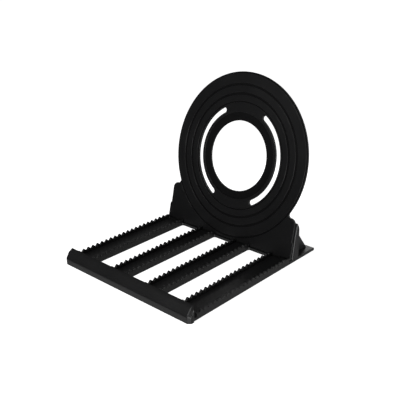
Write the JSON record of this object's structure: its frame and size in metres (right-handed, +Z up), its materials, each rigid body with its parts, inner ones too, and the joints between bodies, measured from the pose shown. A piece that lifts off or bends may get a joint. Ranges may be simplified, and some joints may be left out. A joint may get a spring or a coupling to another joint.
{
  "type": "record storage stand",
  "caption": "Open desk stand: slatted base with toothed ridges, raised front lip and a tilting backrest shaped like a ringed disc.",
  "frame": {"origin": "middle of the footprint, on the table", "axes": "+X to the right seen from the front, +Y from the front lip to the backrest, +Z up"},
  "size_m": [0.305, 0.331, 0.3039],
  "materials": {
    "tray_plastic": "fine moulded grain, satin black",
    "lip_plastic": "fine moulded grain, satin black",
    "upstand_plastic": "fine moulded grain, satin black",
    "panel_plastic": "fine moulded grain with ring grooves, satin black",
    "pin_steel": "plain steel wire",
    "foot_rubber": "matt black rubber",
    "screw_steel": "zinc-plated steel"
  },
  "bodies": {
    "stand": {"base_tray": "tray_plastic", "front_lip": "lip_plastic", "rear_upstand": "upstand_plastic", "hinge_pins": "pin_steel", "rubber_feet": "foot_rubber", "lip_screws": "screw_steel", "upstand_screws": "screw_steel"},
    "backrest": {"backrest_panel": "panel_plastic"}
  },
  "joints": [
    {"name": "backrest_tilt", "type": "hinge", "parent": "stand", "child": "backrest", "pos_m": [0, 0.0896, 0.0038], "axis": [1, 0, 0], "range_deg": [0, 7.2]}
  ]
}
